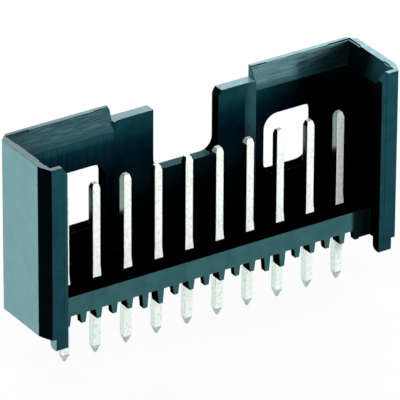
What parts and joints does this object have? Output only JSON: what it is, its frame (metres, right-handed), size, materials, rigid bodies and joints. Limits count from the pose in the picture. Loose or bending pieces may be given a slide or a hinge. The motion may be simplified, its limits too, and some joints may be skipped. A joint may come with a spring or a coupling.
{
  "type": "shrouded pin header",
  "caption": "Single-row shrouded pin header for a circuit board: straight square pins in a black housing with a windowed back wall, sloped lead-in, front lips and locating pegs.",
  "frame": {"origin": "middle of the pin row on the surface of the board that the housing stands on", "axes": "+X along the pin row, +Y towards the tall back wall, +Z away from the board towards the plug"},
  "size_m": [0.029, 0.0064, 0.0169],
  "materials": {
    "housing": "smooth moulding, semi-gloss",
    "pins": "tin plated, satin"
  },
  "bodies": {
    "root": {"housing": "housing", "pin_1": "pins", "pin_2": "pins", "pin_3": "pins", "pin_4": "pins", "pin_5": "pins", "pin_6": "pins", "pin_7": "pins", "pin_8": "pins", "pin_9": "pins", "pin_10": "pins"}
  },
  "joints": []
}
